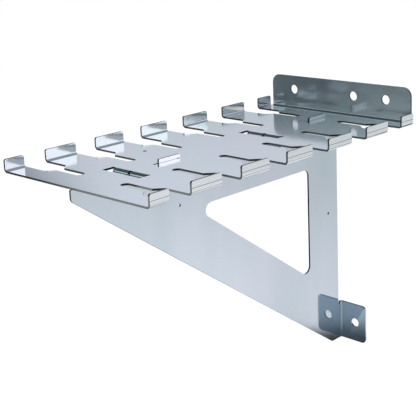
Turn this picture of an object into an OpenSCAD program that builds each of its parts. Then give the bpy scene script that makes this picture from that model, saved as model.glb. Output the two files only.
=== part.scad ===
// Wall rack for bar clamps: a folded comb plate that carries the clamps on its
// slotted edges, and a triangular bracket that hooks up into the plate from below.
// Both are laser-cut and press-folded from zinc-plated steel sheet.
// The comb's sheet is drawn in five nodes, which meet along the starts of the
// folds, and the bracket's in three: the triangle, its hooks and its foot tab.
// The origin is on the wall, midway between the two outer screw holes of the
// wall flange. +Y points into the wall, +X to the right as seen from the room.

/* [Sheet] */
// Thickness of the steel sheet of both pieces
sheet = 2; // [1.5:0.1:2.5]
// Inside radius of every fold
bend_r = 2; // [1:0.25:3]

/* [Comb plate] */
// Overall width across the outer faces of the lips
plate_w = 203; // [180:1:240]
// Number of clamp slots along each long edge
slots_per_side = 6; // [5:1:7]
// Distance from one slot to the next
slot_pitch = 62.5; // [56:0.5:72]
// Width of the first and the last finger of each edge
end_finger_w = 22; // [16:0.5:30]
// Height of the lips, from the underside of the plate
lip_h = 13; // [9:0.5:20]
// Rounding of the upper corners of the lips
lip_corner_r = 2; // [0.5:0.25:3]

/* [Clamp slots] */
// Width of the inner slot, which holds the bar of a clamp
slot_w = 9.5; // [7:0.5:12]
// Reach of a slot into the plate, from the outer face of the lip
slot_depth = 74; // [66:0.5:80]
// Width of the open mouth of a slot
mouth_w = 25.5; // [18:0.5:32]
// Depth of the mouth before it starts to narrow
mouth_depth = 32.5; // [24:0.5:36]

/* [Wall flange] */
// Height of the wall flange above the top face of the plate
flange_h = 37.5; // [34:0.5:50]
// Rounding of the two upper corners of the flange
flange_corner_r = 10; // [4:0.5:14]
// Gap between each end of the flange and the fold of the lip beside it
flange_end_gap = 0.5; // [0.25:0.25:4]
// Diameter of the screw holes in the flange and in the foot
screw_hole_d = 10.5; // [7:0.5:12]
// Height of the flange's holes above the top face of the plate
screw_hole_up = 21.5; // [18:0.5:26]
// Distance between the two outer holes of the flange
outer_hole_span = 129; // [100:1:150]
// Place of the middle hole and the foot's hole, to the right of the centre
stud_hole_x = 21; // [15:0.5:28]

/* [Windows and flaps] */
// Width of the two windows whose flaps steady the bracket
window_w = 52; // [40:1:60]
// Length of sheet that is cut free and folded down in each window
window_l = 13.5; // [11:0.5:18]
// Gap between the flap and each side of its window
flap_side_gap = 3.5; // [1:0.25:6]
// Gap between the bracket and each side of a flap's notch
notch_gap = 0.5; // [0.25:0.25:1]

/* [Bracket] */
// Height of the bracket, from the underside of the plate to its lower edge
bracket_h = 272.5; // [240:0.5:310]
// Height of the bracket's blunt front end
nose_h = 10.5; // [8:0.5:20]
// Rounding of the lower corner of the front end
nose_r = 5; // [2:0.5:6]
// How far the bracket reaches out in front of the plate
nose_reach = 2; // [1:0.5:6]
// Width of the sheet left around the cut-out
band_w = 52; // [40:1:60]
// Rounding of the corners of the cut-out
cutout_r = 8; // [4:0.5:12]
// Length of the bottom edge, out from the wall
sole_l = 20; // [12:0.5:40]
// Diameter of the two locating holes in the bracket
locating_hole_d = 3; // [2:0.25:5]

/* [Foot tab] */
// Reach of the foot tab, from the bracket's centre plane
foot_reach = 36; // [33:0.5:46]
// Height of the foot tab
foot_h = 46; // [38:0.5:60]
// Rounding of the foot tab's outer corners
foot_corner_r = 5; // [2:0.5:8]
// Width of the relief notch beside the foot's fold
relief_w = 3; // [1:0.25:4]
// Depth of the relief notch below the top of the foot tab
relief_depth = 2.5; // [2:0.25:5]

/* [Hooks] */
// Length of each hook, with its overlapping end
hook_l = 28; // [24:1:36]
// Height of the hooks above the top face of the plate
hook_h = 4; // [3:0.25:6]
// Length of the end that overlaps the plate past its slit
hook_overlap = 4.5; // [2.5:0.25:5]
// Gap between that end and the top face of the plate
hook_gap = 0.4; // [0.1:0.05:0.6]
// Distance from the front flap to the front hook
front_hook_back = 37.5; // [30:0.5:50]
// Distance from the wall to the end of the rear hook
rear_hook_out = 27.5; // [22:0.5:32]
// Length of each slit in front of its hook, into which the hook drops
slit_lead = 6; // [5:0.25:8]
// Gap between a hook and each long side of its slit
slit_gap = 0.25; // [0.1:0.05:0.5]

/* [Hidden] */
$fn = 64;

// Depth that a fold takes up outside the flat sheet
fold_out = bend_r + sheet;
// Place of the neutral line of a fold in the sheet's thickness
neutral_share = 0.44;
// Length of sheet that goes into a square fold
fold_l = PI / 2 * (bend_r + neutral_share * sheet);

// Places along the depth, from the wall
comb_l = 2 * end_finger_w + mouth_w + (slots_per_side - 1) * slot_pitch;
plate_front_y = -fold_out - comb_l;
wall_slot_y = -fold_out - end_finger_w - mouth_w / 2;

// Heights, from the row of holes in the flange
plate_top_z = -screw_hole_up;
seat_z = plate_top_z - sheet;
sole_z = seat_z - bracket_h;

// Half widths of the flat sheet and of the flange
flat_half_w = plate_w / 2 - fold_out;
flange_half_w = flat_half_w - flange_end_gap;

// Slots
mouth_x = plate_w / 2 - mouth_depth;
ramp_l = (mouth_w - slot_w) / 2;
slot_end_x = plate_w / 2 - slot_depth + slot_w / 2;
finger_w = slot_pitch - mouth_w;

// Front faces of the two flaps, each midway along a pair of fingers: the second
// from the wall and the second from the front. A flap hangs from the wall side
// of its window.
flap_ys = [slot_y(1.5), slot_y(slots_per_side - 1.5)];
flap_drop = window_l - fold_l + bend_r;

// Hanging hole that the plate was plated by
hanging_hole_d = 4;
hanging_hole_x = 48;
hanging_hole_back = 130;

// Bracket
front_y = plate_front_y - nose_reach;
wall_edge_y = -fold_out - relief_w;
front_hook_y = flap_ys[1] + front_hook_back;
rear_hook_y = -rear_hook_out - hook_l;
hook_corner_r = 0.75;
seat_corner_r = 1;
// Locating holes, from the front end, the wall-side edge and the seat edge
seat_locating_back = 129.5;
seat_locating_drop = 45;
wall_locating_in = 17.5;
wall_locating_drop = 112;

// Steps that the rounding of a corner is drawn in
corner_steps = 12;
// Overrun of a cut past the face that it opens
overrun = 1;

// Place of a slot along the depth, counted from the wall; a half lies mid finger
function slot_y(index) = wall_slot_y - index * slot_pitch;

function unit(v) = v / norm(v);

// Points of an outline whose corners are rounded, with one radius a corner
function rounded_points(points, radii) =
    let (last = len(points) - 1)
    [for (i = [0:last])
        let (
            corner = points[i],
            back = unit(points[i == 0 ? last : i - 1] - corner),
            ahead = unit(points[i == last ? 0 : i + 1] - corner),
            half_turn = acos(back * ahead) / 2,
            centre = corner + unit(back + ahead) * radii[i] / sin(half_turn),
            from = corner + back * radii[i] / tan(half_turn) - centre,
            sweep = sign(cross(ahead, back)) * (180 - 2 * half_turn)
        )
        for (k = [0:corner_steps])
            let (turn = sweep * k / corner_steps)
            centre + [from[0] * cos(turn) - from[1] * sin(turn), from[0] * sin(turn) + from[1] * cos(turn)]
    ];

// Flat strip standing on its lower edge, with its upper corners rounded
module strip(length, height, corner_r) {
    square([length, height - corner_r]);
    translate([corner_r, 0])
        square([length - 2 * corner_r, height]);
    for (x = [corner_r, length - corner_r])
        translate([x, height - corner_r])
            circle(r = corner_r);
}

// Edge folded up square from a flat sheet that ends at x = 0 with its top face
// at z = 0. It runs along Y, and height counts from that top face.
module folded_edge(length, height, corner_r) {
    translate([0, length, bend_r])
        rotate([90, 0, 0])
            linear_extrude(length)
                intersection() {
                    difference() {
                        circle(r = fold_out);
                        circle(r = bend_r);
                    }
                    translate([0, -fold_out])
                        square(fold_out);
                }
    translate([bend_r, 0, bend_r])
        rotate([90, 0, 90])
            linear_extrude(sheet)
                strip(length, height - bend_r, corner_r);
}

// Outline of one clamp slot in the right-hand edge: an open mouth, a slope on
// each side that guides the bar in, and a narrow slot with a round end
module slot_outline() {
    open_x = plate_w / 2 + overrun;
    throat_x = mouth_x - ramp_l;
    polygon([
        [open_x, -mouth_w / 2], [mouth_x, -mouth_w / 2], [throat_x, -slot_w / 2], [slot_end_x, -slot_w / 2],
        [slot_end_x, slot_w / 2], [throat_x, slot_w / 2], [mouth_x, mouth_w / 2], [open_x, mouth_w / 2]
    ]);
    translate([slot_end_x, 0])
        circle(d = slot_w);
}

// Slit for one hook, long enough to drop the hook in before it slides home
module slit_outline(hook_y) {
    slit_l = slit_lead + hook_l - hook_overlap + slit_gap;
    slit_w = sheet + 2 * slit_gap;
    translate([-slit_w / 2, hook_y - slit_lead])
        square([slit_w, slit_l]);
}

module comb_outline() {
    difference() {
        translate([-flat_half_w, plate_front_y])
            square([2 * flat_half_w, comb_l]);
        for (side = [0, 1], i = [0:slots_per_side - 1])
            mirror([side, 0])
                translate([0, slot_y(i)])
                    slot_outline();
        for (y = flap_ys)
            translate([-window_w / 2, y + fold_out - window_l])
                square([window_w, window_l]);
        slit_outline(front_hook_y);
        slit_outline(rear_hook_y);
        translate([-hanging_hole_x, plate_front_y + hanging_hole_back])
            circle(d = hanging_hole_d);
    }
}

// Flat comb between the folds
module comb_plate() {
    color("silver")
        translate([0, 0, seat_z])
            linear_extrude(sheet)
                comb_outline();
}

// Upturned lips at the ends of the right-hand fingers
module lips() {
    lip_up = lip_h - sheet;
    translate([flat_half_w, 0, plate_top_z]) {
        translate([0, plate_front_y, 0])
            folded_edge(end_finger_w, lip_up, lip_corner_r);
        translate([0, -fold_out - end_finger_w, 0])
            folded_edge(end_finger_w, lip_up, lip_corner_r);
        for (i = [1:slots_per_side - 1])
            translate([0, slot_y(i) + mouth_w / 2, 0])
                folded_edge(finger_w, lip_up, lip_corner_r);
    }
}

module right_lips() {
    color("silver")
        lips();
}

module left_lips() {
    color("silver")
        mirror([1, 0, 0])
            lips();
}

// Edge that is folded up to lie on the wall
module wall_flange() {
    color("silver")
        difference() {
            translate([flange_half_w, -fold_out, plate_top_z])
                rotate([0, 0, 90])
                    folded_edge(2 * flange_half_w, flange_h, flange_corner_r);
            for (x = [-outer_hole_span / 2, stud_hole_x, outer_hole_span / 2])
                translate([x, overrun, 0])
                    rotate([90, 0, 0])
                        cylinder(d = screw_hole_d, h = sheet + 2 * overrun);
        }
}

// Flap folded down out of a window, notched to straddle the bracket
module flap() {
    flap_w = window_w - 2 * flap_side_gap;
    notch_w = sheet + 2 * notch_gap;
    for (x = [-flap_w / 2, notch_w / 2])
        translate([x, fold_out, -sheet])
            rotate([0, 0, -90])
                rotate([180, 0, 0])
                    translate([0, -(flap_w - notch_w) / 2, 0])
                        folded_edge((flap_w - notch_w) / 2, flap_drop, lip_corner_r);
}

module window_flaps() {
    color("silver")
        for (y = flap_ys)
            translate([0, y, plate_top_z])
                flap();
}

// Hook on the seat edge: its foot fills the slit, and its end overlaps the plate
module hook_outline(hook_y) {
    translate([hook_y, seat_z])
        square([hook_l - hook_overlap, sheet + hook_gap + hook_corner_r]);
    hook_low_z = plate_top_z + hook_gap;
    hook_top_z = plate_top_z + hook_h;
    hook_end_y = hook_y + hook_l;
    polygon(rounded_points(
        [[hook_y, hook_low_z], [hook_end_y, hook_low_z], [hook_end_y, hook_top_z], [hook_y, hook_top_z]],
        [hook_corner_r, hook_corner_r, hook_corner_r, hook_corner_r]));
}

// Triangular cut-out with the same width of sheet left along all three sides
module cutout_outline(low_front, low_wall) {
    run = unit(low_wall - low_front);
    inward = [-run[1], run[0]];
    edge = low_front + band_w * inward;
    top_z = seat_z - band_w;
    wall_y = wall_edge_y - band_w;
    slope = run[1] / run[0];
    polygon(rounded_points(
        [[edge[0] + (top_z - edge[1]) / slope, top_z], [wall_y, edge[1] + (wall_y - edge[0]) * slope], [wall_y, top_z]],
        [cutout_r, cutout_r, cutout_r]));
}

module bracket_outline() {
    low_front = [front_y, seat_z - nose_h];
    low_wall = [-sole_l, sole_z];
    difference() {
        union() {
            polygon(rounded_points(
                [[front_y, seat_z], low_front, low_wall, [wall_edge_y, sole_z], [wall_edge_y, seat_z]],
                [seat_corner_r, nose_r, seat_corner_r, seat_corner_r, seat_corner_r]));
            // Root of the foot tab, up to its relief notch
            translate([wall_edge_y - seat_corner_r, sole_z])
                square([relief_w + seat_corner_r, foot_h - relief_depth]);
        }
        cutout_outline(low_front, low_wall);
        translate([front_y + seat_locating_back, seat_z - seat_locating_drop])
            circle(d = locating_hole_d);
        translate([wall_edge_y - wall_locating_in, seat_z - wall_locating_drop])
            circle(d = locating_hole_d);
    }
}

// Flat triangle of the bracket, standing in the middle under the plate
module support_bracket() {
    color("lightsteelblue")
        translate([-sheet / 2, 0, 0])
            rotate([90, 0, 90])
                linear_extrude(sheet)
                    bracket_outline();
}

// Two hooks along the top of the triangle, cut in one with it
module bracket_hooks() {
    color("lightsteelblue")
        translate([-sheet / 2, 0, 0])
            rotate([90, 0, 90])
                linear_extrude(sheet)
                    for (y = [front_hook_y, rear_hook_y])
                        hook_outline(y);
}

// Lower end of the bracket's wall side, folded to the right onto the wall
module foot_tab() {
    color("lightsteelblue")
        difference() {
            translate([sheet / 2, -fold_out, sole_z])
                rotate([90, 0, 90])
                    folded_edge(foot_h, foot_reach - sheet / 2, foot_corner_r);
            translate([stud_hole_x, overrun, sole_z + foot_h / 2])
                rotate([90, 0, 0])
                    cylinder(d = screw_hole_d, h = sheet + 2 * overrun);
        }
}

comb_plate();
left_lips();
right_lips();
wall_flange();
window_flaps();
support_bracket();
bracket_hooks();
foot_tab();
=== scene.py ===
"""Wall rack for bar clamps: two folded sheets of zinc-plated steel, dressed and lit."""
from math import radians

import bmesh
import bpy
import numpy as np
from mathutils import Matrix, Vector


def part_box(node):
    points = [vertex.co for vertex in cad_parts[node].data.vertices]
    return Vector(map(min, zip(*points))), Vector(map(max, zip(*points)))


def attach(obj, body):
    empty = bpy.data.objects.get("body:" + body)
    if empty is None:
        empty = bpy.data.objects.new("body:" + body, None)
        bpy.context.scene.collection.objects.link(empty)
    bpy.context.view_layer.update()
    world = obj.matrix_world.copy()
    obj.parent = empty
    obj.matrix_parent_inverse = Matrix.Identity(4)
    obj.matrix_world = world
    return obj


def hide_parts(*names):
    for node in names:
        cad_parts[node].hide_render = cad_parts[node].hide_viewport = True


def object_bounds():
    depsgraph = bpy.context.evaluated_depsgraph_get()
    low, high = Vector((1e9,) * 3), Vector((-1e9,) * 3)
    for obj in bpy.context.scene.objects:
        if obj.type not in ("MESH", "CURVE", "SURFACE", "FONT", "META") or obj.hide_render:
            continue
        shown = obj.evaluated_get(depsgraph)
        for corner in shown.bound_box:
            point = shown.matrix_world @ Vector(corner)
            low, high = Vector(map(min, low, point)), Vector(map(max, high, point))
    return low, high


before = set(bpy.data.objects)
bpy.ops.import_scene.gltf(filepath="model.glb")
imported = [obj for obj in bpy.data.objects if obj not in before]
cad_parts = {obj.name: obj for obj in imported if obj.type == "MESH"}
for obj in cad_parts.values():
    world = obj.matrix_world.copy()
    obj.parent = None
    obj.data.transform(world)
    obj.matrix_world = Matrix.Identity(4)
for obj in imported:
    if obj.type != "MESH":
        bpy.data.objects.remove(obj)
cad_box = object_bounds()

# Comb plate. One blank of 2 mm cold-rolled sheet, laser-cut, with its lips and wall flange folded up and two
# notched flaps folded down on a press brake, then zinc-plated and blue-passivated. Screws through the flange
# hold it to the wall.
mm = 0.001
comb_nodes = ["comb_plate", "left_lips", "right_lips", "wall_flange", "window_flaps"]
plate_low, plate_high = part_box("comb_plate")
lip_face = cad_box[1].x
bend_radius = 2 * mm
# middle of the hanging hole, its X and Y, and a reach round it that takes in its wall
hanging_hole = (-48 * mm, plate_low.y + 130 * mm)
hanging_reach = 2.5 * mm


def linear(hex_colour):
    """sRGB hex to the linear RGBA that the shader sockets take."""
    parts = [int(hex_colour[i:i + 2], 16) / 255 for i in (1, 3, 5)]
    return [p / 12.92 if p <= 0.04045 else ((p + 0.055) / 1.055) ** 2.4 for p in parts] + [1.0]


def add(tree, kind, links=None, **settings):
    """Adds a node. settings are its properties, links its inputs: a socket is linked, a value is set."""
    made = tree.nodes.new(kind)
    for name, value in settings.items():
        setattr(made, name, value)
    for name, value in (links or {}).items():
        socket = made.inputs[name]
        if isinstance(value, bpy.types.NodeSocket):
            tree.links.new(value, socket)
        else:
            socket.default_value = value
    return made


def new_material(name):
    """An empty node material, its tree and its Object coordinates."""
    material = bpy.data.materials.new(name)
    material.use_nodes = True
    tree = material.node_tree
    tree.nodes.clear()
    where = add(tree, "ShaderNodeTexCoord").outputs["Object"]
    return material, tree, where


def zinc_plate(name, lavender, teal, clouds_per_metre, roughness):
    """Bright zinc on cold-rolled sheet: a clean mirror with a faint rolled grain and bluish clouds, dark and
    rougher on the laser-cut edges. Returns the material, its tree and the sockets to build on."""
    material, tree, where = new_material(name)
    # clouds of the blue passivation
    drift = add(tree, "ShaderNodeMapping", {"Vector": where, "Scale": clouds_per_metre})
    clouds = add(tree, "ShaderNodeTexNoise", {
        "Vector": drift.outputs["Vector"], "Scale": 1.0, "Detail": 2.0})
    shift = add(tree, "ShaderNodeMapRange", {
        "Value": clouds.outputs["Fac"], "From Min": 0.25, "From Max": 0.75})
    tint = add(tree, "ShaderNodeMix", {
        "Factor": shift.outputs["Result"], 6: linear(lavender), 7: linear(teal)}, data_type="RGBA")
    # rolled grain along Y: streaks drawn 0.8 mm wide, coarser than the real ones, so that they show
    grain_width, grain_length = 0.8 * mm, 40 * mm
    grain_contrast = 1.6
    along = add(tree, "ShaderNodeMapping", {
        "Vector": where, "Scale": (1 / grain_width, 1 / grain_length, 1 / grain_width)})
    grain = add(tree, "ShaderNodeTexNoise", {
        "Vector": along.outputs["Vector"], "Scale": 1.0, "Detail": 2.0})
    rough = add(tree, "ShaderNodeMapRange", {
        "Value": grain.outputs["Fac"], "To Min": roughness, "To Max": grain_contrast * roughness})
    # the laser leaves a dark, rougher edge
    cut_roughness = 0.18
    edge = add(tree, "ShaderNodeAttribute", attribute_name="cut_edge").outputs["Fac"]
    colour = add(tree, "ShaderNodeMix", {
        "Factor": edge, 6: tint.outputs[2], 7: linear("#3B3936")}, data_type="RGBA")
    dull = add(tree, "ShaderNodeMix", {
        "Factor": edge, 2: rough.outputs["Result"], 3: cut_roughness}, data_type="FLOAT")
    # the sheet is flat to a few hundredths of a millimetre over 50 mm
    wave_length, wave_depth = 50 * mm, 0.06 * mm
    waves = add(tree, "ShaderNodeTexNoise", {"Vector": where, "Scale": 1 / wave_length, "Detail": 1.0})
    bump = add(tree, "ShaderNodeBump", {
        "Height": waves.outputs["Fac"], "Distance": wave_depth, "Strength": 1.0})
    shader = add(tree, "ShaderNodeBsdfPrincipled", {
        "Base Color": colour.outputs[2], "Metallic": 0.9, "Roughness": dull.outputs[0],
        "Normal": bump.outputs["Normal"]})
    add(tree, "ShaderNodeOutputMaterial", {"Surface": shader.outputs["BSDF"]})
    return material, tree, {"where": where, "edge": edge, "colour": colour.outputs[2],
                            "roughness": dull.outputs[0], "shader": shader}


def paint_highlight(tree, zinc, place, finish):
    """Lays finish, a lighter colour that is a painted highlight, over the zinc's colour where place is 1, but
    not on the cut edges. Returns where it lies, and the new colour."""
    uncut = add(tree, "ShaderNodeMath", {0: 1.0, 1: zinc["edge"]}, operation="SUBTRACT")
    lies = add(tree, "ShaderNodeMath", {0: place, 1: uncut.outputs[0]}, operation="MULTIPLY").outputs[0]
    mixed = add(tree, "ShaderNodeMix", {"Factor": lies, 6: zinc["colour"], 7: finish}, data_type="RGBA")
    return lies, mixed.outputs[2]


def weld(mesh, flatten=False):
    """Merges the corners that lie on each other, and with flatten also the triangles of each flat face."""
    shape = bmesh.new()
    shape.from_mesh(mesh)
    bmesh.ops.remove_doubles(shape, verts=shape.verts, dist=0.001 * mm)
    if flatten:
        bmesh.ops.dissolve_limit(shape, angle_limit=radians(0.5), verts=shape.verts, edges=shape.edges)
    shape.to_mesh(mesh)
    shape.free()


def one_sheet(name, nodes):
    """Copies the solids of one real sheet and joins them into one closed mesh, with its flat faces whole."""
    parts = []
    for node in nodes:
        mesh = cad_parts[node].data.copy()
        weld(mesh)
        parts.append(bpy.data.objects.new(name, mesh))
        bpy.context.scene.collection.objects.link(parts[-1])
    sheet = parts[0]
    for part in parts[1:]:
        join = sheet.modifiers.new("join", "BOOLEAN")
        join.operation = "UNION"
        join.solver = "EXACT"
        join.object = part
    whole = bpy.data.meshes.new_from_object(sheet.evaluated_get(bpy.context.evaluated_depsgraph_get()))
    for part in parts:
        bpy.data.objects.remove(part)
    weld(whole, flatten=True)
    whole.name = name
    sheet = bpy.data.objects.new(name, whole)
    bpy.context.scene.collection.objects.link(sheet)
    return sheet


def faces(sheet):
    """Middle of every face and its unit normal, as two arrays."""
    count = len(sheet.data.polygons)
    middles, normals = np.zeros(count * 3), np.zeros(count * 3)
    sheet.data.polygons.foreach_get("center", middles)
    sheet.data.polygons.foreach_get("normal", normals)
    return middles.reshape(-1, 3), normals.reshape(-1, 3)


def flag(sheet, name, chosen):
    """Keeps a 1 on the chosen faces and a 0 on the others, for the material to read."""
    kept = sheet.data.attributes.new(name, "FLOAT", "FACE")
    kept.data.foreach_set("value", chosen.astype(np.float32))


def finish_edges(sheet, cut, dull):
    """Marks the laser-cut faces, gives the dull ones the dark edge zinc, which is painted shade on them, and
    rounds every sharp edge by 0.2 mm. The rounding has the dark edge zinc too, and the large faces keep the
    shading of a flat sheet."""
    flag(sheet, "cut_edge", cut)
    sheet.data.polygons.foreach_set("material_index", dull.astype(np.int32))
    sheet.data.shade_smooth()
    sheet.data.set_sharp_from_angle(angle=radians(40))
    rounding = sheet.modifiers.new("rounding", "BEVEL")
    rounding.width = 0.2 * mm
    rounding.material = 1
    rounding.segments = 2
    rounding.limit_method = "ANGLE"
    rounding.angle_limit = radians(45)
    flats = sheet.modifiers.new("flats", "WEIGHTED_NORMAL")
    flats.mode = "FACE_AREA"
    flats.weight = 100
    flats.keep_sharp = True


comb = one_sheet("comb_sheet", comb_nodes)
comb.data.materials.clear()

# bright zinc: clouds 60 mm across, and the grain runs from the wall to the front
bright_zinc, tree, zinc = zinc_plate("bright_zinc_plate", "#DEDBE2", "#D4DEDD", (16.0, 16.0, 16.0), 0.08)
comb.data.materials.append(bright_zinc)
axes = add(tree, "ShaderNodeSeparateXYZ", {"Vector": zinc["where"]})
side = add(tree, "ShaderNodeMath", {0: axes.outputs["X"]}, operation="ABSOLUTE").outputs[0]

# painted highlight: the lips and their bends outside are painted a whiter, streaked zinc, for the brighter
# light that they mirror
highlight_starts, highlight_full = lip_face - 1.2 * mm, lip_face - 0.7 * mm
bend_side, bend_top = plate_high.x + 0.5 * mm, plate_high.z - 0.1 * mm
streaks_per_metre = (30.0, 12.0, 900.0)
outer = add(tree, "ShaderNodeMapRange", {"Value": side, "From Min": highlight_starts, "From Max": highlight_full})
beside = add(tree, "ShaderNodeMath", {0: side, 1: bend_side}, operation="GREATER_THAN")
under = add(tree, "ShaderNodeMath", {0: axes.outputs["Z"], 1: bend_top}, operation="LESS_THAN")
bend = add(tree, "ShaderNodeMath", {0: beside.outputs[0], 1: under.outputs[0]}, operation="MULTIPLY")
outer = add(tree, "ShaderNodeMath", {0: outer.outputs["Result"], 1: bend.outputs[0]}, operation="MAXIMUM")
drawn = add(tree, "ShaderNodeMapping", {"Vector": zinc["where"], "Scale": streaks_per_metre})
streak = add(tree, "ShaderNodeTexNoise", {"Vector": drawn.outputs["Vector"], "Scale": 1.0, "Detail": 2.0})
whiter = add(tree, "ShaderNodeMix", {
    "Factor": streak.outputs["Fac"], 6: linear("#CED4DA"), 7: linear("#EBF0F3")}, data_type="RGBA")
highlight_mask, colour = paint_highlight(tree, zinc, outer.outputs[0], whiter.outputs[2])

# the die of the press brake leaves two grey lines along each lip: one where the sheet slid over its shoulder,
# 7 mm above
# # the bottom, and one along the bottom of the bend
die_lines = ((plate_low.z + 6.8 * mm, 0.3 * mm), (plate_low.z + 0.5 * mm, 0.4 * mm))
line_strength = 0.9
for height, half_width in die_lines:
    line = add(tree, "ShaderNodeMath", {0: axes.outputs["Z"], 1: height, 2: half_width}, operation="COMPARE")
    mark = add(tree, "ShaderNodeMath", {0: line.outputs[0], 1: highlight_mask}, operation="MULTIPLY")
    part = add(tree, "ShaderNodeMath", {0: mark.outputs[0], 1: line_strength}, operation="MULTIPLY")
    colour = add(tree, "ShaderNodeMix", {"Factor": part.outputs[0], 6: colour, 7: linear("#7F8A93")},
                 data_type="RGBA").outputs[2]

# painted light: the cut edges that face the front are painted a lighter grey-brown than the other cut edges,
# more so on the right side
edge_light_grows, edge_light_full = -40 * mm, 10 * mm
least_edge_light = 0.15
lit_front = add(tree, "ShaderNodeAttribute", attribute_name="lit_front_edge").outputs["Fac"]
light_to_right = add(tree, "ShaderNodeMapRange", {
    "Value": axes.outputs["X"], "From Min": edge_light_grows, "From Max": edge_light_full, "To Min": least_edge_light})
front_edge_light = add(tree, "ShaderNodeMath", {0: lit_front, 1: light_to_right.outputs["Result"]}, operation="MULTIPLY")
colour = add(tree, "ShaderNodeMix", {"Factor": front_edge_light.outputs[0], 6: colour, 7: linear("#87827B")},
             data_type="RGBA").outputs[2]
tree.links.new(colour, zinc["shader"].inputs["Base Color"])

# the flange and the inner faces of the lips are a little duller
flange_starts = plate_high.y - 0.5 * mm
lip_inside, lip_reach = plate_high.x + 1.2 * mm, 1.2 * mm
added_roughness = 0.03
flange = add(tree, "ShaderNodeMath", {0: axes.outputs["Y"], 1: flange_starts}, operation="GREATER_THAN")
inside = add(tree, "ShaderNodeMath", {0: side, 1: lip_inside, 2: lip_reach}, operation="COMPARE")
raised = add(tree, "ShaderNodeMath", {0: flange.outputs[0], 1: inside.outputs[0]}, operation="MAXIMUM")
duller = add(tree, "ShaderNodeMath", {
    0: raised.outputs[0], 1: added_roughness, 2: zinc["roughness"]}, operation="MULTIPLY_ADD")
tree.links.new(duller.outputs[0], zinc["shader"].inputs["Roughness"])

# a rough, dark zinc for the rounding of every sharp edge, and painted shade on the walls of the holes and on
# the tab's edges
dark_edge_and_shade_zinc, tree = new_material("dark_edge_and_painted_shade")[:2]
dark = add(tree, "ShaderNodeBsdfPrincipled", {
    "Base Color": linear("#24221F"), "Metallic": 0.4, "Roughness": 0.45})
add(tree, "ShaderNodeOutputMaterial", {"Surface": dark.outputs["BSDF"]})
comb.data.materials.append(dark_edge_and_shade_zinc)

# a face is cut where it isn't one of the sheet's two broad faces, and in a bend, where those turn, it is cut
# where it looks along the fold; a share of 1 is a face that looks straight along an axis
past_broad_share, along_fold_share, front_share = 0.3, 0.5, 0.95
middle, normal = faces(comb)
to_side, to_front, to_top = np.abs(normal).T
in_lip = np.abs(middle[:, 0]) > plate_high.x
in_flange = (middle[:, 1] > plate_high.y) & ~in_lip
in_flap = (middle[:, 2] < plate_low.z) & ~in_lip & ~in_flange
in_plate = ~(in_lip | in_flange | in_flap)
stands = middle[:, 2] > plate_high.z + bend_radius
hangs = middle[:, 2] < plate_low.z - bend_radius
cut = in_plate & (to_top < past_broad_share)
cut |= in_lip & np.where(stands, to_side < past_broad_share, to_front > along_fold_share)
cut |= in_flange & np.where(stands, to_front < past_broad_share, to_side > along_fold_share)
cut |= in_flap & np.where(hangs, to_front < past_broad_share, to_side > along_fold_share)
in_hanging_hole = np.linalg.norm(middle[:, :2] - hanging_hole, axis=1) < hanging_reach
# the cut edges that face the front, which get the painted light
flag(comb, "lit_front_edge", cut & (to_front > front_share))
# the wall of the hanging hole gets the dark edge zinc, as painted shade
finish_edges(comb, cut, cut & in_hanging_hole)
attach(comb, "root")
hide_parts(*comb_nodes)

# Support bracket. The same 2 mm sheet, laser-cut, with one fold for the foot tab, zinc-plated like the comb.
# Its hooks stand in the slits of the plate, and one screw holds the tab to the wall.
bracket_nodes = ["support_bracket", "bracket_hooks", "foot_tab"]
web_low, web_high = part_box("support_bracket")
# middles of the two locating holes, their Y and Z, and a reach round them that takes in their walls
locating_holes = np.array([(web_low.y + 129.5 * mm, web_high.z - 45 * mm),
                           (web_high.y - 20.5 * mm, web_high.z - 112 * mm)])
locating_reach = 2 * mm
bracket = one_sheet("bracket_sheet", bracket_nodes)
bracket.data.materials.clear()

# bright zinc: clouds 80 mm wide and 330 mm high, as the sheet hung in the bath, with the grain along the seat
bright_zinc, tree, zinc = zinc_plate("bright_zinc_bracket", "#D1D6E3", "#B9C8CF", (12.0, 12.0, 3.0), 0.055)
bracket.data.materials.append(bright_zinc)
bracket.data.materials.append(dark_edge_and_shade_zinc)

# painted highlight: the faces of the hooks over the plate are painted a lighter zinc
hooks_start, hooks_full = plate_high.z, plate_high.z + 0.5 * mm
axes = add(tree, "ShaderNodeSeparateXYZ", {"Vector": zinc["where"]})
hook = add(tree, "ShaderNodeMapRange", {
    "Value": axes.outputs["Z"], "From Min": hooks_start, "From Max": hooks_full})
colour = paint_highlight(tree, zinc, hook.outputs["Result"], linear("#E3DFE3"))[1]
tree.links.new(colour, zinc["shader"].inputs["Base Color"])

# the end of the tab was sheared and is bright, and its other edges and the walls of the locating holes are
# painted darkest, as painted shade
tab_end_share = 0.9
middle, normal = faces(bracket)
to_side, to_front, to_top = np.abs(normal).T
in_tab = middle[:, 0] > web_high.x
stands = middle[:, 0] > web_high.x + bend_radius
cut = ~in_tab & (to_side < past_broad_share)
cut |= in_tab & np.where(stands, to_front < past_broad_share, to_top > along_fold_share)
cut &= normal[:, 0] < tab_end_share
away = np.linalg.norm(middle[:, None, 1:] - locating_holes, axis=2).min(axis=1)
finish_edges(bracket, cut, cut & (in_tab | (away < locating_reach)))
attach(bracket, "root")
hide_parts(*bracket_nodes)

# Floor. Matt white paint, well below the rack, as under a rack on a wall. The eye sees it white, with the
# # rack's shadow on it. The zinc mirrors it as painted light: white, but for a painted dark ring 2 m round
# the rack
# # and a painted shade close to it.
floor_z = -1.2
floor_side = 6.0
floor_front, floor_back = -0.45, 9.0
# what the eye sees is this share of pure white, and for the rest the paint with its shadow
veil_share, veil_strength = 0.9, 1.1
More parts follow.
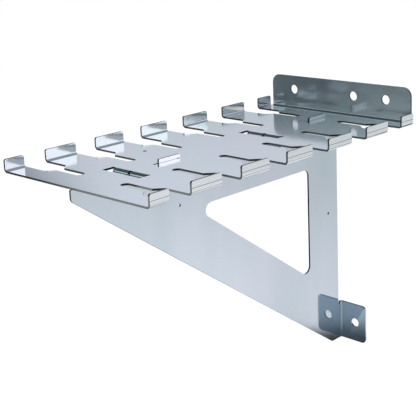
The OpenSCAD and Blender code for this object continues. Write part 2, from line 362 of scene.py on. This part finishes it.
# ramps of the mirrored floor's light, by distance from the rack in metres or by bearing, Y over X:
# where each starts and ends, and the light there
floor_ramps = {
    "past_ring": ("distance", 2.355, 2.415, 0.0, 1.0, "LINEAR"),
    "inside_ring": ("distance", 2.08, 1.92, 0.0, 1.0, "LINEAR"),
    "close": ("distance", 1.30, 1.55, 0.3, 1.0, "LINEAR"),
    "far": ("distance", 2.5, 4.4, 1.06, 0.88, "SMOOTHSTEP"),
    "by_bearing": ("bearing", 0.85, 1.12, 1.07, 0.96, "SMOOTHSTEP"),
}
floor_mesh = bpy.data.meshes.new("floor")
floor_mesh.from_pydata([(-floor_side, floor_front, floor_z), (floor_side, floor_front, floor_z),
                        (floor_side, floor_back, floor_z), (-floor_side, floor_back, floor_z)],
                       [], [(0, 1, 2, 3)])
floor = bpy.data.objects.new("floor", floor_mesh)
bpy.context.scene.collection.objects.link(floor)
floor_paint, tree, where = new_material("matt_white_floor")
path = add(tree, "ShaderNodeLightPath")
matt = add(tree, "ShaderNodeBsdfDiffuse", {"Color": linear("#F2F2F0")})
white = add(tree, "ShaderNodeEmission", {"Color": linear("#FFFFFF"), "Strength": veil_strength})
veil = add(tree, "ShaderNodeMixShader", {0: veil_share, 1: matt.outputs[0], 2: white.outputs[0]})
plain = add(tree, "ShaderNodeMixShader", {
    0: path.outputs["Is Camera Ray"], 1: matt.outputs[0], 2: veil.outputs[0]})
axes = add(tree, "ShaderNodeSeparateXYZ", {"Vector": where})
distance = add(tree, "ShaderNodeVectorMath", {0: where}, operation="LENGTH")
bearing = add(tree, "ShaderNodeMath", {0: axes.outputs["Y"], 1: axes.outputs["X"]}, operation="DIVIDE")
place = {"distance": distance.outputs["Value"], "bearing": bearing.outputs[0]}
lit = {}
for name, (by, start, end, light_before, light_after, curve) in floor_ramps.items():
    ramp = add(tree, "ShaderNodeMapRange", {
        "Value": place[by], "From Min": start, "From Max": end,
        "To Min": light_before, "To Max": light_after}, interpolation_type=curve)
    lit[name] = ramp.outputs["Result"]
glow = add(tree, "ShaderNodeMath", {0: lit["past_ring"], 1: lit["inside_ring"]}, operation="MAXIMUM")
for name in ("close", "far", "by_bearing"):
    glow = add(tree, "ShaderNodeMath", {0: glow.outputs[0], 1: lit[name]}, operation="MULTIPLY")
mirror_image = add(tree, "ShaderNodeEmission", {"Color": linear("#FFFFFF"), "Strength": glow.outputs[0]})
mirrored = add(tree, "ShaderNodeMath", {
    0: path.outputs["Is Glossy Ray"], 1: path.outputs["Is Transmission Ray"]}, operation="MAXIMUM")
mixed = add(tree, "ShaderNodeMixShader", {
    0: mirrored.outputs[0], 1: plain.outputs[0], 2: mirror_image.outputs[0]})
add(tree, "ShaderNodeOutputMaterial", {"Surface": mixed.outputs[0]})
floor_mesh.materials.append(floor_paint)

# Light tent. White paper stands behind the rack, with a soft box on its right, and the camera's side is open:
# a dark room with windows on its right, a strip lamp low on its left and the pale edge of a table.

# ramps of the light by one axis of the direction that it comes from: where each starts and ends,
# and its level at the start and at the end
tent_ramps = {
    "left_side": ("X", -0.63, -0.52, 0.05, 0.31),
    "right_side": ("X", -0.30, 0.60, 0.0, 0.46),
    "windows": ("Z", 0.192, 0.216, 1.0, 2.8),
    "past_windows": ("X", 0.68, 0.82, 1.0, 0.25),
    "over_camera": ("Z", 0.205, 0.25, 0.0, 1.0),
    "over_windows": ("Z", 0.36, 0.50, 1.0, 0.05),
    "table_edge": ("Z", -0.27, -0.37, 0.0, 0.68),
    "under_table": ("Z", -0.394, -0.406, 1.0, 0.0),
    "room_floor": ("Z", -0.48, -0.56, 0.0, 0.9),
    "paper_middle": ("Z", 0.13, 0.32, 0.0, 1.0),
    "paper_top": ("Z", 0.45, 0.65, 0.0, 1.0),
    "back": ("Y", -0.25, 0.25, 0.0, 1.0),
    "ceiling": ("Z", 0.84, 0.96, 0.0, 1.0),
    "box_top": ("Z", 0.28, 0.34, 1.0, 0.15),
}
# lamps: the direction of each, the cosines to it at its rim and at its core, and its level
tent_lamps = {
    "strip_lamp": ((-0.735, -0.639, -0.225), 0.991, 0.998, 1.3),
    "soft_box": ((0.745, 0.625, 0.233), 0.952, 0.995, 1.0),
}
# linear light levels, since lamps are brighter than white
dark_room, window_light = (0.0, 0.01, 0.02, 1.0), (0.82, 1.0, 1.06, 1.0)
paper_low, paper_bright, paper_dim = (0.555, 0.60, 0.65, 1.0), (0.84, 0.89, 1.0, 1.0), (0.40, 0.45, 0.51, 1.0)
past_tent = (0.055, 0.08, 0.10, 1.0)
ceiling_light, box_light = (0.80, 0.82, 0.85, 1.0), (1.74, 1.82, 1.88, 1.0)
# the paper's left end leans: it lies where end_lean * Z + end_shift - X passes from paper_ends to room_starts
end_lean, end_shift = 0.6, -0.15
paper_ends, room_starts = 0.75, 0.84
world = bpy.data.worlds.new("light_tent")
bpy.context.scene.world = world
world.use_nodes = True
tree = world.node_tree
tree.nodes.clear()
direction = add(tree, "ShaderNodeTexCoord").outputs["Generated"]
axes = add(tree, "ShaderNodeSeparateXYZ", {"Vector": direction})
level = {}
for name, (axis, start, end, light_before, light_after) in tent_ramps.items():
    ramp = add(tree, "ShaderNodeMapRange", {
        "Value": axes.outputs[axis], "From Min": start, "From Max": end,
        "To Min": light_before, "To Max": light_after}, interpolation_type="SMOOTHSTEP")
    level[name] = ramp.outputs["Result"]
for name, (toward, rim, core, strength) in tent_lamps.items():
    aim = add(tree, "ShaderNodeVectorMath", {0: direction, 1: toward}, operation="DOT_PRODUCT")
    lobe = add(tree, "ShaderNodeMapRange", {
        "Value": aim.outputs["Value"], "From Min": rim, "From Max": core, "To Max": strength},
        interpolation_type="SMOOTHSTEP")
    level[name] = lobe.outputs["Result"]

# the open front: the brightest of its lights, dimmed over and beyond the windows and under the table
right_light = add(tree, "ShaderNodeMath", {0: level["right_side"], 1: level["windows"]}, operation="MULTIPLY")
front = add(tree, "ShaderNodeMath", {0: level["left_side"], 1: right_light.outputs[0]}, operation="MAXIMUM")
for name in ("over_camera", "table_edge", "strip_lamp"):
    front = add(tree, "ShaderNodeMath", {0: front.outputs[0], 1: level[name]}, operation="MAXIMUM")
low_room = add(tree, "ShaderNodeMath", {0: level["under_table"], 1: level["room_floor"]}, operation="MAXIMUM")
for dimmed in (low_room.outputs[0], level["over_windows"], level["past_windows"]):
    front = add(tree, "ShaderNodeMath", {0: front.outputs[0], 1: dimmed}, operation="MULTIPLY")
front = add(tree, "ShaderNodeMix", {"Factor": front.outputs[0], 6: dark_room, 7: window_light},
            clamp_factor=False, data_type="RGBA")

# the white back is brightest a little above the rack and ends low on the left, where the room is dark
slope = add(tree, "ShaderNodeMath", {
    0: axes.outputs["Z"], 1: end_lean, 2: end_shift}, operation="MULTIPLY_ADD")
reach = add(tree, "ShaderNodeMath", {0: slope.outputs[0], 1: axes.outputs["X"]}, operation="SUBTRACT")
beyond = add(tree, "ShaderNodeMapRange", {
    "Value": reach.outputs[0], "From Min": paper_ends, "From Max": room_starts},
    interpolation_type="SMOOTHSTEP")
back = paper_low
for share, light in ((level["paper_middle"], paper_bright), (level["paper_top"], paper_dim),
                     (beyond.outputs["Result"], past_tent)):
    back = add(tree, "ShaderNodeMix", {"Factor": share, 6: back, 7: light}, data_type="RGBA").outputs[2]

# front and back meet, with the ceiling and the soft box over them, and the eye sees plain white instead
box_share = add(tree, "ShaderNodeMath", {0: level["soft_box"], 1: level["box_top"]}, operation="MULTIPLY")
path = add(tree, "ShaderNodeLightPath")
tent = front.outputs[2]
for share, light in ((level["back"], back), (level["ceiling"], ceiling_light),
                     (box_share.outputs[0], box_light), (path.outputs["Is Camera Ray"], linear("#FFFFFF"))):
    tent = add(tree, "ShaderNodeMix", {"Factor": share, 6: tent, 7: light}, data_type="RGBA").outputs[2]
sky = add(tree, "ShaderNodeBackground", {"Color": tent, "Strength": 1.0})
add(tree, "ShaderNodeOutputWorld", {"Surface": sky.outputs[0]})

# Camera. Its place, its angles and its lens are solved from the photograph's edges, and the shift is that of
# a picture that was cropped.
camera_place = (0.67216, -0.89139, 0.20538)
camera_turn, camera_down, camera_roll = radians(44.2599), radians(13.58), radians(-2.3963)
lens = bpy.data.cameras.new("camera")
lens.sensor_width = 36.0
lens.lens = 85.52
lens.shift_x = -0.02304
lens.shift_y = -0.13377
lens.clip_start = 0.05
lens.clip_end = 60.0
camera = bpy.data.objects.new("camera", lens)
camera.matrix_world = (Matrix.Translation(camera_place)
                       @ Matrix.Rotation(camera_turn, 4, "Z")
                       @ Matrix.Rotation(radians(90) - camera_down, 4, "X")
                       @ Matrix.Rotation(camera_roll, 4, "Z"))
bpy.context.scene.collection.objects.link(camera)
bpy.context.scene.camera = camera
bpy.context.scene.view_settings.view_transform = "Standard"
